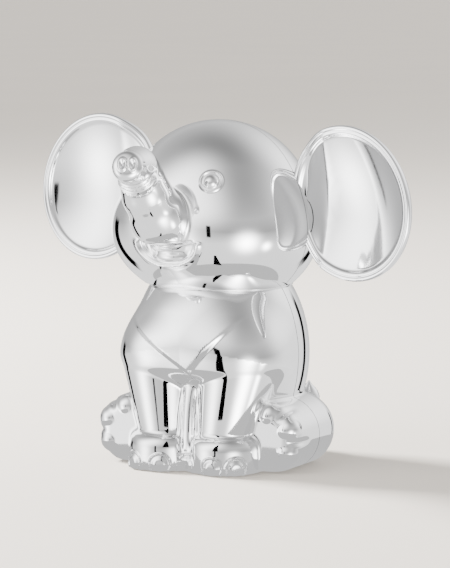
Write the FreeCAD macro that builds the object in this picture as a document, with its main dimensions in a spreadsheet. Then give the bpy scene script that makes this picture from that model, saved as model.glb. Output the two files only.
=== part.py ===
import FreeCAD, Part
import math
import os

import Sketcher
from FreeCAD import Placement, Rotation, Vector

# A seated elephant money box, cast in four shells with two clipped-in ears.
# Millimetres and degrees. +Z is up and the elephant's body faces -Y. Forms are laid out from the
# neck's axis, and the whole model is then moved so that its origin is the middle of its base.
SIZES = {
    # castings
    "wall": 2.2,
    "head_turn": -10.0,
    "head_seam": 1.0,
    "body_seam": -3.0,
    # neck joint
    "body_top": 63.4,
    "neck_bead": 0.7,
    "neck_bead_radius": 25.5,
    "neck_bore": 22.4,
    "ring_fit": 0.05,
    "ring_wall": 1.8,
    "ring_reach": 4.7,
    "collar": 5.8,
    # head forms: radii along X, Y and Z, then the centre
    "skull_rx": 33.5,
    "skull_ry": 32.0,
    "skull_rz": 31.2,
    "skull_y": -1.0,
    "skull_z": 90.9,
    "jaw_rx": 35.0,
    "jaw_ry": 32.3,
    "jaw_rz": 26.4,
    "jaw_y": 0.5,
    "jaw_z": 82.2,
    "cheek_rx": 22.0,
    "cheek_ry": 20.5,
    "cheek_rz": 18.0,
    "cheek_x": 12.0,
    "cheek_y": -12.0,
    "cheek_z": 83.2,
    "lip_rx": 11.5,
    "lip_ry": 8.5,
    "lip_rz": 6.5,
    "lip_y": -27.0,
    "lip_z": 77.2,
    "mouth_rx": 8.5,
    "mouth_ry": 5.5,
    "mouth_rz": 3.2,
    "mouth_y": -35.5,
    "mouth_z": 80.2,
    # trunk: centre line stations with their radii
    "root_y": -24.0,
    "root_z": 81.2,
    "root_r": 10.4,
    "rise_y": -37.0,
    "rise_z": 89.7,
    "rise_r": 9.6,
    "lift_y": -44.0,
    "lift_z": 98.2,
    "lift_r": 8.7,
    "crook_y": -48.0,
    "crook_z": 105.6,
    "crook_r": 7.8,
    "snout_y": -54.0,
    "snout_z": 108.8,
    "snout_r": 6.6,
    "crook_x": 0.4,
    "snout_x": 2.0,
    "tip_x": 4.0,
    "tip_y": -60.5,
    "tip_z": 108.4,
    "tip_r": 5.7,
    # ears: dished ovals with a thick rim
    "ear_rx": 24.5,
    "ear_rz": 27.6,
    "ear_lean": 26.6,
    "ear_x": 54.4,
    "ear_y": -1.0,
    "ear_z": 95.3,
    "ear_skew": 0.7,
    "ear_dish": 5.0,
    "ear_sheet": 2.4,
    "rim_sheet": 3.8,
    "rim_width": 2.6,
    "lug_radius": 3.0,
    "lug_end": 27.6,
    "lug_root": 40.0,
    "button_radius": 4.6,
    "button_sheet": 1.6,
    "lug_fit": 0.05,
    # body forms
    "torso_rx": 31.7,
    "torso_ry": 32.0,
    "torso_rz": 40.0,
    "torso_z": 39.2,
    "chest_rx": 23.0,
    "chest_ry": 19.5,
    "chest_rz": 19.0,
    "chest_y": -12.0,
    "chest_z": 47.2,
    "rump_rx": 29.0,
    "rump_ry": 26.0,
    "rump_rz": 24.0,
    "rump_y": 7.0,
    "rump_z": 11.2,
    # front legs: shoulder and ankle of a taper, and the foot
    "ball_proud": 0.15,
    "shoulder_x": 15.0,
    "shoulder_y": -16.0,
    "shoulder_z": 39.2,
    "shoulder_r": 15.0,
    "ankle_x": 11.2,
    "ankle_y": -21.0,
    "ankle_z": 12.2,
    "ankle_r": 9.8,
    "paw_rx": 13.6,
    "paw_ry": 13.4,
    "paw_rz": 9.0,
    "paw_x": 11.6,
    "paw_y": -21.0,
    "paw_z": 4.7,
    # hind legs: they lie along the ground with the soles forward
    "sole_y": -22.0,
    "sole_z": 11.8,
    "sole_r": 12.5,
    "thigh_x": 26.8,
    "thigh_y": 7.0,
    "thigh_z": 12.0,
    "thigh_r": 13.2,
    # tail
    "tail_rx": 2.6,
    "tail_ry": 3.4,
    "tail_rz": 11.0,
    "tail_y": 32.5,
    "tail_z": 20.0,
    # coin slot in the back
    "slot_length": 36.0,
    "slot_width": 4.8,
    "slot_z": 48.0,
    # base: recess, plate, felt, screws
    "base_y": 7.0,
    "felt_sheet": 1.4,
    "plate_sheet": 1.6,
    "plate_radius": 20.4,
    "plate_fit": 0.1,
    "ledge_sheet": 1.8,
    "ledge_bore": 14.6,
    "stopper_bore": 13.4,
    "felt_bore": 15.6,
    "screw_circle": 17.4,
    "screw_angle": 60.0,
    "screw_radius": 1.25,
    "screw_length": 5.6,
    "screw_head_radius": 2.2,
    "screw_head": 1.0,
    "screw_fit": 0.03,
    "pilot_spare": 0.4,
    "boss_radius": 2.8,
    "boss_height": 5.4,
    # coin stopper
    "stopper_fit": 0.2,
    "stopper_groove": 0.3,
    "stopper_flange": 15.1,
    "flange_sheet": 0.9,
    "flange_lift": 0.3,
    "stopper_rise": 5.4,
    "stopper_taper": 0.9,
    "stopper_wall": 1.7,
    "bead_height": 1.2,
    "tab_width": 15.0,
    "tab_sheet": 1.8,
    "tab_drop": 4.6,
    # where the middle of the base lies from the neck's axis: set once the forms are measured
    "origin_x": 0.0,
    "origin_y": 0.0,
}

FAR = 200.0  # reach of the blocks that split a form: larger than the whole model
DOME_STEPS = (25, 50, 70)  # degrees from the trunk tip's edge at which its dome has a circle

doc = FreeCAD.newDocument("elephant_money_box")


class Size:
    """A length with the text of its expression, so that code and the sheet agree."""

    def __init__(self, value, text):
        self.value = value
        self.text = text

    def join(self, other, sign, value):
        return Size(value, "(%s %s %s)" % (self.text, sign, size(other).text))

    def __add__(self, other):
        return self.join(other, "+", self.value + size(other).value)

    def __radd__(self, other):
        return size(other) + self

    def __sub__(self, other):
        return self.join(other, "-", self.value - size(other).value)

    def __rsub__(self, other):
        return size(other) - self

    def __mul__(self, other):
        return self.join(other, "*", self.value * size(other).value)

    def __rmul__(self, other):
        return size(other) * self

    def __truediv__(self, other):
        return self.join(other, "/", self.value / size(other).value)

    def __neg__(self):
        return self * -1


def size(thing):
    """A plain number as a Size; a Size as it is."""
    if isinstance(thing, Size):
        return thing
    return Size(float(thing), "(%r)" % float(thing))


class Sheet:
    """The driving dimensions in a spreadsheet, read back as Size attributes."""

    def __init__(self, values):
        self.page = doc.addObject("Spreadsheet::Sheet", "sizes")
        self.rows = {}
        for row, (name, value) in enumerate(values.items(), 1):
            self.rows[name] = row
            self.page.set("A%d" % row, name)
            self.write(name, value)
            self.page.setAlias("B%d" % row, name)
        doc.recompute()

    def write(self, name, value):
        self.page.set("B%d" % self.rows[name], repr(value))

    def __getattr__(self, name):
        return Size(SIZES[name], "sizes." + name)


s = Sheet(SIZES)


# Building blocks -------------------------------------------------------------------------------


def put(piece, at, rotation=None):
    """Places a piece at a point whose coordinates may be Sizes."""
    if rotation is not None:
        piece.Placement = Placement(Vector(), rotation)
    for axis, place in zip("xyz", at):
        piece.setExpression("Placement.Base." + axis, size(place).text)
    return piece


def solid(kind, name, at, rotation=None, **lengths):
    """A Part primitive with its lengths and place bound to the sheet."""
    piece = doc.addObject(kind, name)
    for prop, length in lengths.items():
        piece.setExpression(prop, size(length).text)
    return put(piece, at, rotation)


def ellipsoid(name, at, radii, inset=0):
    rx, ry, rz = radii
    return solid(
        "Part::Ellipsoid", name, at, Radius1=rz - inset, Radius2=rx - inset, Radius3=ry - inset
    )


def sphere(name, at, radius):
    return solid("Part::Sphere", name, at, Radius=radius)


def cylinder(name, at, radius, height, rotation=None):
    return solid("Part::Cylinder", name, at, rotation, Radius=radius, Height=height)


def block(name, low, high):
    """A box between two corners."""
    length, width, height = [size(b) - size(a) for a, b in zip(low, high)]
    return solid("Part::Box", name, low, Length=length, Width=width, Height=height)


def fuse(name, pieces):
    joined = doc.addObject("Part::MultiFuse", name)
    joined.Shapes = pieces
    return joined


def common(name, piece, other):
    shared = doc.addObject("Part::Common", name)
    shared.Base = piece
    shared.Tool = other
    return shared


def cut(name, piece, tool):
    rest = doc.addObject("Part::Cut", name)
    rest.Base = piece
    rest.Tool = tool
    return rest


def taper(name, low, high, low_radius, high_radius):
    """A cone between two points with a slightly larger ball at each end."""
    start = Vector(*[size(v).value for v in low])
    end = Vector(*[size(v).value for v in high])
    lean = Rotation(Vector(0, 0, 1), end - start)
    cone = doc.addObject("Part::Cone", name + "_cone")
    cone.setExpression("Radius1", size(low_radius).text)
    cone.setExpression("Radius2", size(high_radius).text)
    squares = [(size(b) - size(a)) * (size(b) - size(a)) for a, b in zip(low, high)]
    cone.setExpression("Height", "sqrt(%s)" % (squares[0] + squares[1] + squares[2]).text)
    put(cone, low, lean)
    ends = (("_low", low, low_radius), ("_high", high, high_radius))
    return [cone] + [sphere(name + end, at, radius + s.ball_proud) for end, at, radius in ends]


def ring(name, at, towards, radius):
    """A circle across a centre line, as one station of a loft."""
    circle = doc.addObject("Part::Circle", name)
    circle.setExpression("Radius", size(radius).text)
    return put(circle, at, Rotation(Vector(0, 0, 1), towards))


def origin_plane(body, role):
    return [part for part in body.Origin.OriginFeatures if part.Role == role][0]


def sketch_on(body, name, role):
    sketch = body.newObject("Sketcher::SketchObject", name)
    sketch.AttachmentSupport = (origin_plane(body, role), [""])
    sketch.MapMode = "FlatFace"
    return sketch


def turned(name, corners):
    """A body turned about Z from a closed outline of (radius, height) corners."""
    body = doc.addObject("PartDesign::Body", name)
    sketch = sketch_on(body, name + "_outline", "XZ_Plane")
    points = [Vector(size(r).value, size(z).value, 0) for r, z in corners]
    count = len(points)
    for i, point in enumerate(points):
        sketch.addGeometry(Part.LineSegment(point, points[(i + 1) % count]), False)
    for i in range(count):
        sketch.addConstraint(Sketcher.Constraint("Coincident", i, 2, (i + 1) % count, 1))
    for i, (radius, height) in enumerate(corners):
        if size(radius).value == 0:
            sketch.addConstraint(Sketcher.Constraint("PointOnObject", i, 1, -2))
        else:
            hold(sketch, "DistanceX", i, radius)
        hold(sketch, "DistanceY", i, height)
    turn = body.newObject("PartDesign::Revolution", name + "_turned")
    turn.Profile = sketch
    turn.ReferenceAxis = (sketch, ["V_Axis"])
    turn.Angle = 360
    sketch.Visibility = False
    return body


def hold(sketch, direction, corner, length):
    """Ties one corner of a sketch to its origin by a length of the sheet."""
    length = size(length)
    rule = Sketcher.Constraint(direction, -1, 1, corner, 1, length.value)
    index = sketch.addConstraint(rule)
    sketch.setExpression("Constraints[%d]" % index, length.text)


def washer(name, outer, inner, thickness):
    """A flat ring padded up from the XY plane."""
    body = doc.addObject("PartDesign::Body", name)
    sketch = sketch_on(body, name + "_outline", "XY_Plane")
    for i, radius in enumerate((size(outer), size(inner))):
        sketch.addGeometry(Part.Circle(Vector(), Vector(0, 0, 1), radius.value), False)
        sketch.addConstraint(Sketcher.Constraint("Coincident", i, 3, -1, 1))
        index = sketch.addConstraint(Sketcher.Constraint("Radius", i, radius.value))
        sketch.setExpression("Constraints[%d]" % index, radius.text)
    pad = body.newObject("PartDesign::Pad", name + "_pad")
    pad.Profile = sketch
    pad.setExpression("Length", size(thickness).text)
    sketch.Visibility = False
    return body


# Places worked out from the driving dimensions ----------------------------------------------------

head_bottom = s.body_top + s.neck_bead
plate_top = s.felt_sheet + s.plate_sheet
chamber_floor = plate_top + s.ledge_sheet
chamber_top = s.body_top - s.collar
head_floor = head_bottom + s.collar


# Head ---------------------------------------------------------------------------------------------


def head_forms(prefix, inset):
    """Skull, jaw and cheeks, full size or set in by the wall."""
    skull = (s.skull_rx, s.skull_ry, s.skull_rz)
    jaw = (s.jaw_rx, s.jaw_ry, s.jaw_rz)
    cheek = (s.cheek_rx, s.cheek_ry, s.cheek_rz)
    return [
        ellipsoid(prefix + "_skull", (0, s.skull_y, s.skull_z), skull, inset),
        ellipsoid(prefix + "_jaw", (0, s.jaw_y, s.jaw_z), jaw, inset),
        ellipsoid(prefix + "_cheek_left", (s.cheek_x, s.cheek_y, s.cheek_z), cheek, inset),
        ellipsoid(prefix + "_cheek_right", (-s.cheek_x, s.cheek_y, s.cheek_z), cheek, inset),
    ]


def trunk():
    """The raised trunk: circles along its centre line, closed by a domed tip."""
    stations = [
        ("root", 0, s.root_y, s.root_z, s.root_r),
        ("rise", 0, s.rise_y, s.rise_z, s.rise_r),
        ("lift", 0, s.lift_y, s.lift_z, s.lift_r),
        ("crook", s.crook_x, s.crook_y, s.crook_z, s.crook_r),
        ("snout", s.snout_x, s.snout_y, s.snout_z, s.snout_r),
        ("tip", s.tip_x, s.tip_y, s.tip_z, s.tip_r),
    ]
    centres = [Vector(*[size(v).value for v in station[1:4]]) for station in stations]
    rings = []
    for i, (name, x, y, z, radius) in enumerate(stations):
        before = centres[max(i - 1, 0)]
        after = centres[min(i + 1, len(centres) - 1)]
        rings.append(ring("trunk_" + name, (x, y, z), after - before, radius))
    forward = (centres[-1] - centres[-2]).normalize()
    for degrees in DOME_STEPS:
        dome = math.radians(degrees)
        reach = s.tip_r * math.sin(dome)
        at = [start + reach * ahead for start, ahead in zip((s.tip_x, s.tip_y, s.tip_z), forward)]
        rings.append(ring("trunk_dome_%d" % degrees, at, forward, s.tip_r * math.cos(dome)))
    loft = doc.addObject("Part::Loft", "trunk")
    loft.Sections = rings
    loft.Solid = True
    loft.Ruled = False
    return loft


def lug(side, radius, start, end, name):
    """A round bar along X through the head's side at the seam, on one side."""
    height = ear_height(side)
    low = start if side > 0 else -end
    sideways = Rotation(Vector(0, 0, 1), Vector(1, 0, 0))
    return cylinder(name, (low, s.head_seam, height), radius, end - start, sideways)


def ear_height(side):
    return s.ear_z - s.ear_skew * side


def head_block(name, low_y, high_y, low_z):
    return block(name, (-FAR, low_y, low_z), (FAR, high_y, FAR))


def make_head():
    """Front and rear shells of the head, and the plain form that the ears are cut to."""
    lip = (s.lip_rx, s.lip_ry, s.lip_rz)
    forms = head_forms("head", 0) + [ellipsoid("lower_lip", (0, s.lip_y, s.lip_z), lip), trunk()]
    above_neck = head_block("above_neck", -FAR, FAR, head_bottom)
    outside = common("head_outside", fuse("head_form", forms), above_neck)
    above_floor = head_block("above_head_floor", -FAR, FAR, head_floor)
    hollow = common("head_hollow", fuse("head_inside", head_forms("hollow", s.wall)), above_floor)
    mouth = ellipsoid("mouth", (0, s.mouth_y, s.mouth_z), (s.mouth_rx, s.mouth_ry, s.mouth_rz))
    neck = cylinder("head_neck_bore", (0, 0, s.body_top), s.neck_bore, s.collar * 2)
    bores = [
        lug(side, s.lug_radius + s.lug_fit, s.lug_end, s.lug_root, "lug_bore_" + word)
        for side, word in ((1, "left"), (-1, "right"))
    ]
    cast = cut("head_cast", outside, fuse("head_cuts", [hollow, mouth, neck] + bores))
    front = common("head_front", cast, head_block("head_before_seam", -FAR, s.head_seam, 0))
    rear = common("head_rear", cast, head_block("head_behind_seam", s.head_seam, FAR, 0))
    return outside, {"head_front_shell": front, "head_rear_shell": rear}


def dish_ball(name, offset):
    """A ball whose surface runs through the right ear's rim, moved out by the offset."""
    across = (s.ear_rx + s.ear_rz) / 2
    radius = (across * across + s.ear_dish * s.ear_dish) / (s.ear_dish * 2)
    return sphere(name, (-s.ear_x, s.ear_y + s.ear_dish - radius, 0), radius + offset)


def ear_oval(name, inset):
    """The right ear's leaning oval outline, as a bar across the dish."""
    oval = doc.addObject("Part::Ellipse", name + "_line")
    oval.setExpression("MajorRadius", (s.ear_rz - inset).text)
    oval.setExpression("MinorRadius", (s.ear_rx - inset).text)
    upright = Rotation(Vector(1, 0, 0), 90) * Rotation(Vector(0, 0, 1), 90)
    leaning = Rotation(Vector(0, 1, 0), s.ear_lean.value)
    put(oval, (-s.ear_x, s.ear_y + s.ear_rz, 0), leaning * upright)
    bar = doc.addObject("Part::Extrusion", name)
    bar.Base = oval
    bar.DirMode = "Custom"
    bar.Dir = Vector(0, -1, 0)
    bar.setExpression("LengthFwd", (s.ear_rz * 2).text)
    bar.Solid = True
    return bar


def make_ear_leaf():
    """The right ear's dished oval with a thick rim, centred on the ground plane."""
    rim = s.rim_sheet / 2
    sheet = s.ear_sheet / 2
    bowl = cut("ear_bowl", dish_ball("rim_back", rim), dish_ball("rim_front", -rim))
    thick = common("ear_thick", ear_oval("ear_edge", 0), bowl)
    front_oval = ear_oval("front_edge", s.rim_width)
    before = common("ear_front", front_oval, dish_ball("sheet_front", -sheet))
    back_oval = ear_oval("back_edge", s.rim_width)
    behind = cut("ear_back", back_oval, dish_ball("sheet_back", sheet))
    return cut("right_leaf", cut("ear_hollowed", thick, before), behind)


def make_ear(word, side, leaf, head):
    """One ear: its leaf raised to its height and cut to the head, with a lug and button inside."""
    raised = doc.addObject("Part::Compound", word + "_leaf_raised")
    raised.Links = [leaf]
    put(raised, (0, 0, ear_height(side)))
    bar = lug(side, s.lug_radius, s.lug_end, s.lug_root - s.ear_sheet, word + "_lug")
    button = lug(side, s.button_radius, s.lug_end, s.lug_end + s.button_sheet, word + "_button")
    return fuse(word + "_ear_cast", [cut(word + "_leaf_cut", raised, head), bar, button])


def mirrored(name, piece):
    """The piece's mirror image across the elephant's middle."""
    image = doc.addObject("Part::Mirroring", name)
    image.Source = piece
    image.Normal = Vector(1, 0, 0)
    return image


def make_neck_ring():
    """A locating ring inside the neck, whose bead shows as a fine line between head and body."""
    outside = s.neck_bore - s.ring_fit
    inside = outside - s.ring_wall
    return turned(
        "neck_ring_turned",
        [
            (inside, s.body_top - s.ring_reach),
            (outside, s.body_top - s.ring_reach),
            (outside, s.body_top),
            (s.neck_bead_radius, s.body_top),
            (s.neck_bead_radius, head_bottom),
            (outside, head_bottom),
            (outside, head_bottom + s.ring_reach),
            (inside, head_bottom + s.ring_reach),
        ],
    )


# Body ---------------------------------------------------------------------------------------------


def body_forms(prefix, inset):
    """Torso, chest and rump, full size or set in by the wall."""
    torso = (s.torso_rx, s.torso_ry, s.torso_rz)
    chest = (s.chest_rx, s.chest_ry, s.chest_rz)
    rump = (s.rump_rx, s.rump_ry, s.rump_rz)
    return [
        ellipsoid(prefix + "_torso", (0, 0, s.torso_z), torso, inset),
        ellipsoid(prefix + "_chest", (0, s.chest_y, s.chest_z), chest, inset),
        ellipsoid(prefix + "_rump", (0, s.rump_y, s.rump_z), rump, inset),
    ]


def leg_forms(prefix, side, inset):
    """A front leg and a hind leg on one side, full size or set in by the wall."""
    shoulder = (s.shoulder_x * side, s.shoulder_y, s.shoulder_z)
    ankle = (s.ankle_x * side, s.ankle_y, s.ankle_z)
    front = taper(prefix + "_front_leg", ankle, shoulder, s.ankle_r - inset, s.shoulder_r - inset)
    sole = (s.thigh_x * side, s.sole_y + inset, s.sole_z)
    thigh = (s.thigh_x * side, s.thigh_y, s.thigh_z)
    hind = taper(prefix + "_hind_leg", sole, thigh, s.sole_r - inset, s.thigh_r - inset)
    return front, hind


def screw_places():
    """Where the base screws stand: two in front of the seam and two behind it."""
    angle = math.radians(s.screw_angle.value)
    across = s.screw_circle * math.cos(angle)
    along = s.screw_circle * math.sin(angle)
    return [(across * i, s.base_y + along * j) for j in (-1, 1) for i in (-1, 1)]


def make_body_outside():
    """The whole outside of the seated body, down to the flat it stands on."""
    forms = body_forms("body", 0)
    forms.append(ellipsoid("tail", (0, s.tail_y, s.tail_z), (s.tail_rx, s.tail_ry, s.tail_rz)))
    for word, side in (("left", 1), ("right", -1)):
        front, hind = leg_forms(word, side, 0)
        paw = (s.paw_rx, s.paw_ry, s.paw_rz)
        forms += front
        forms.append(ellipsoid(word + "_paw", (s.paw_x * side, s.paw_y, s.paw_z), paw))
        forms += [hind[0], hind[2]]
    standing = block("above_ground", (-FAR, -FAR, 0), (FAR, FAR, s.body_top))
    return common("body_outside", fuse("body_form", forms), standing)


def make_chamber():
    """The money chamber, without the screw bosses that stand on its floor."""
    forms = body_forms("chamber", s.wall)
    for word, side in (("left", 1), ("right", -1)):
        front, hind = leg_forms("chamber_" + word, side, s.wall)
        forms += front + [hind[0], hind[2]]
    space = block("chamber_space", (-FAR, -FAR, chamber_floor), (FAR, FAR, chamber_top))
    room = common("chamber_room", fuse("chamber_form", forms), space)
    bosses = []
    for i, (x, y) in enumerate(screw_places()):
        bosses.append(cylinder("boss_%d" % i, (x, y, plate_top), s.boss_radius, s.boss_height))
    return cut("chamber", room, fuse("bosses", bosses))


def make_body():
    """Front and rear shells of the body."""
    slot = block(
        "coin_slot",
        (-s.slot_length / 2, s.torso_ry / 2, s.slot_z - s.slot_width / 2),
        (s.slot_length / 2, size(FAR), s.slot_z + s.slot_width / 2),
    )
    neck = cylinder("body_neck_bore", (0, 0, chamber_top - s.collar), s.neck_bore, s.collar * 3)
    recess_radius = s.plate_radius + s.plate_fit
    recess = cylinder("plate_recess", (0, s.base_y, -plate_top), recess_radius, plate_top * 2)
    ledge = cylinder("ledge_bore_cut", (0, s.base_y, 0), s.ledge_bore, chamber_floor + s.ledge_sheet)
    pilots = []
    for i, (x, y) in enumerate(screw_places()):
        depth = s.felt_sheet + s.screw_length + s.pilot_spare
        pilots.append(cylinder("pilot_%d" % i, (x, y, 0), s.screw_radius + s.screw_fit, depth))
    cuts = fuse("body_cuts", [make_chamber(), slot, neck, recess, ledge] + pilots)
    cast = cut("body_cast", make_body_outside(), cuts)
    before = block("body_before_seam", (-FAR, -FAR, -FAR), (FAR, s.body_seam, FAR))
    behind = block("body_behind_seam", (-FAR, s.body_seam, -FAR), (FAR, FAR, FAR))
    front = common("body_front", cast, before)
    rear = common("body_rear", cast, behind)
    return {"body_front_shell": front, "body_rear_shell": rear}


# Base ---------------------------------------------------------------------------------------------


def screw(name, x, y, grow):
    """A countersunk screw pointing up, or with grow the hole that it passes through."""
    head = doc.addObject("Part::Cone", name + "_head")
    head.setExpression("Radius1", (s.screw_head_radius + grow).text)
    head.setExpression("Radius2", (s.screw_radius + grow).text)
    head.setExpression("Height", s.screw_head.text)
    put(head, (x, y, s.felt_sheet))
    shank = cylinder(name + "_shank", (x, y, s.felt_sheet), s.screw_radius + grow, s.screw_length)
    return fuse(name, [head, shank])


def make_plate():
    """The base plate: a disc with the stopper's hole and four countersunk screw holes."""
    disc = washer("plate_disc", s.plate_radius, s.stopper_bore, s.plate_sheet)
    put(disc, (0, s.base_y, s.felt_sheet))
    places = enumerate(screw_places())
    holes = [screw("plate_hole_%d" % i, x, y, s.screw_fit) for i, (x, y) in places]
    return cut("plate_drilled", disc, fuse("plate_holes", holes))


def make_felt():
    felt = washer("felt_ring", s.plate_radius, s.felt_bore, s.felt_sheet)
    return put(felt, (0, s.base_y, 0))


def make_screws():
    screws = [screw("screw_%d" % i, x, y, size(0)) for i, (x, y) in enumerate(screw_places())]
    group = doc.addObject("Part::Compound", "screw_group")
    group.Links = screws
    return group


def make_stopper():
    """The push-in stopper: a hollow plug with a flange, a groove for the plate and a pull tab."""
    bead = s.stopper_bore - s.stopper_fit
    waist = bead - s.stopper_groove
    flange_top = s.flange_lift + s.flange_sheet
    bead_low = plate_top + s.stopper_groove
    bead_high = bead_low + s.bead_height
    top = plate_top + s.stopper_rise
    plug = turned(
        "stopper_plug",
        [
            (size(0), top),
            (bead - s.stopper_taper, top),
            (bead, bead_high),
            (bead, bead_low + s.stopper_groove),
            (waist, bead_low),
            (waist, flange_top),
            (s.stopper_flange, flange_top),
            (s.stopper_flange, s.flange_lift),
            (waist - s.stopper_wall, s.flange_lift),
            (bead - s.stopper_taper - s.stopper_wall, top - s.stopper_wall),
            (size(0), top - s.stopper_wall),
        ],
    )
    put(plug, (0, s.base_y, 0))
    tab_top = top - s.stopper_wall / 2
    tab = block(
        "pull_tab",
        (-s.tab_width / 2, s.base_y - s.tab_sheet / 2, tab_top - s.tab_drop),
        (s.tab_width / 2, s.base_y + s.tab_sheet / 2, tab_top),
    )
    return fuse("stopper_moulding", [plug, tab])


# Assembly -----------------------------------------------------------------------------------------


def name_node(piece, label, turned_with_head):
    """Gives a finished piece its name and its place from the base's middle."""
    piece.Label = label
    angle = s.head_turn.value if turned_with_head else 0.0
    base = Vector(*piece.Placement.Base)
    piece.Placement = Placement(base, Rotation(Vector(0, 0, 1), angle))
    piece.setExpression("Placement.Base.x", (-s.origin_x).text)
    piece.setExpression("Placement.Base.y", (-s.origin_y).text)
    return piece


def in_copy(name, piece):
    """A compound that carries one PartDesign body, so that it can be placed as a node."""
    group = doc.addObject("Part::Compound", name)
    group.Links = [piece]
    return group


def make_nodes():
    head, shells = make_head()
    nodes = [name_node(piece, label, True) for label, piece in shells.items()]
    right_leaf = make_ear_leaf()
    left_leaf = mirrored("left_leaf", right_leaf)
    for word, side, leaf in (("left", 1, left_leaf), ("right", -1, right_leaf)):
        nodes.append(name_node(make_ear(word, side, leaf, head), word + "_ear", True))
    nodes.append(name_node(in_copy("neck_ring_node", make_neck_ring()), "neck_ring", False))
    for label, piece in make_body().items():
        nodes.append(name_node(piece, label, False))
    nodes.append(name_node(make_plate(), "base_plate", False))
    nodes.append(name_node(make_screws(), "base_screws", False))
    nodes.append(name_node(in_copy("felt_node", make_felt()), "base_felt", False))
    nodes.append(name_node(make_stopper(), "coin_stopper", False))
    return nodes


def centre_on_base(nodes):
    """Moves the origin to the middle of the whole model's box, at the ground."""
    boxes = [node.Shape.optimalBoundingBox(False) for node in nodes]
    middle_x = (min(b.XMin for b in boxes) + max(b.XMax for b in boxes)) / 2
    middle_y = (min(b.YMin for b in boxes) + max(b.YMax for b in boxes)) / 2
    s.write("origin_x", middle_x)
    s.write("origin_y", middle_y)
    doc.recompute()
    print("origin from the neck's axis: %.4f, %.4f" % (middle_x, middle_y))


def check(nodes):
    """Stops on any failed object or broken shape."""
    for item in doc.Objects:
        if "Invalid" in item.State or "Error" in item.State:
            raise RuntimeError("%s failed: %s" % (item.Name, item.State))
    for node in nodes:
        shape = node.Shape
        if shape.isNull() or not shape.isValid() or shape.Volume <= 0:
            raise RuntimeError("%s has no valid solid" % node.Label)
        print("%-18s %2d solid(s) %10.1f mm3" % (node.Label, len(shape.Solids), shape.Volume))


def export(nodes):
    os.makedirs("parts", exist_ok=True)
    for node in nodes:
        node.Shape.exportStep("parts/%s.step" % node.Label)


nodes = make_nodes()
doc.recompute()
centre_on_base(nodes)
check(nodes)
export(nodes)
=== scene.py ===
import math

import bmesh
import bpy
import numpy as np
from bpy.props import FloatProperty, FloatVectorProperty, PointerProperty
from bpy.types import Operator, Panel, PropertyGroup
from mathutils import Matrix, Vector


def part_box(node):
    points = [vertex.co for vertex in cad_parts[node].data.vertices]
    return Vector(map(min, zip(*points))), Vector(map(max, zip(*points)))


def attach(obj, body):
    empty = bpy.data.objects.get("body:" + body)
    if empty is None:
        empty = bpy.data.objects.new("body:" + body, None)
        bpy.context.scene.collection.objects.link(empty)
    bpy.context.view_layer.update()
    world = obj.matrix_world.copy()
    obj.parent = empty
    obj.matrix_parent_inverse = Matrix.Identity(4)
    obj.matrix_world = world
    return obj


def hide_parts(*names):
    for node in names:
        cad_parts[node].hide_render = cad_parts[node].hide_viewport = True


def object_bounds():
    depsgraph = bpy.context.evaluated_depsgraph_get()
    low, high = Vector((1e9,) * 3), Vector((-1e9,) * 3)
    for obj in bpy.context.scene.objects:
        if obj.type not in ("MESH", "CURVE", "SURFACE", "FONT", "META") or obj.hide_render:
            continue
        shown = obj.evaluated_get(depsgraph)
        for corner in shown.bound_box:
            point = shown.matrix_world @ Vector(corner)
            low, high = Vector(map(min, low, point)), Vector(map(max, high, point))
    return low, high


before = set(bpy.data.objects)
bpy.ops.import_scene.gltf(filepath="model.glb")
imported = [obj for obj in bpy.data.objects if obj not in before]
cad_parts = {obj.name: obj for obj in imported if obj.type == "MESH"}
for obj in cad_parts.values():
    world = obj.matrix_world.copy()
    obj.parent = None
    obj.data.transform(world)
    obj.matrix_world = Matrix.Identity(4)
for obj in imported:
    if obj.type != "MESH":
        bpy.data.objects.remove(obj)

bl_info = {
    "name": "Elephant Money Box",
    "version": (1, 0, 0),
    "blender": (4, 5, 0),
    "location": "3D Viewport > Sidebar > Money Box",
    "description": "Builds a seated elephant money box in polished silver plate around its frame",
    "category": "Add Mesh",
}

CAD_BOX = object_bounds()
MM = 0.001

# Forms are worked out in millimetres from the neck's axis, with the ground at zero height and the
# elephant's body facing -Y. The head's forms are laid out before the head is turned.
NECK_LOW, NECK_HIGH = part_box("neck_ring")
NECK_AXIS = (NECK_LOW + NECK_HIGH) / 2 / MM
BODY_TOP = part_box("body_front_shell")[1].z / MM
HEAD_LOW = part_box("head_front_shell")[0].z / MM
BODY_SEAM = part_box("body_front_shell")[1].y / MM - NECK_AXIS.y
PLATE_LOW, PLATE_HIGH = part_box("base_plate")
PLATE_Y = (PLATE_LOW.y + PLATE_HIGH.y) / 2 / MM - NECK_AXIS.y
PLATE_RADIUS = (PLATE_HIGH.x - PLATE_LOW.x) / 2 / MM
PLATE_TOP = PLATE_HIGH.z / MM

# where the head's seam lies, the collars round the neck, and the cuts made in the castings
HEAD_SEAM = 1.0
NECK_BORE = 22.4
COLLAR = 5.8
LEDGE = 1.8
STOPPER_WAY = 14.6
PLATE_EASE = 0.1
SLOT_HEIGHT = 48.0

# centre and radii
SKULL = ((0, -1.0, 90.9), (33.5, 32.0, 31.2))
JAW = ((0, 0.5, 82.2), (35.2, 32.3, 26.4))
CHEEK = ((12.0, -12.0, 83.2), (22.0, 20.5, 18.0))
LOWER_LIP = ((0, -26.5, 76.6), (11.0, 8.5, 6.2))
TONGUE = ((0.6, -29.6, 75.8), (7.4, 5.0, 3.2))
TORSO = ((0, 0, 39.2), (31.7, 32.0, 40.0))
CHEST = ((0, -12.0, 47.2), (23.0, 19.5, 19.0))
RUMP = ((0, 7.0, 11.2), (29.0, 26.0, 24.0))
WEB = ((0.4, -22.0, 8.0), (6.2, 7.6, 29.0))

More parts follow.
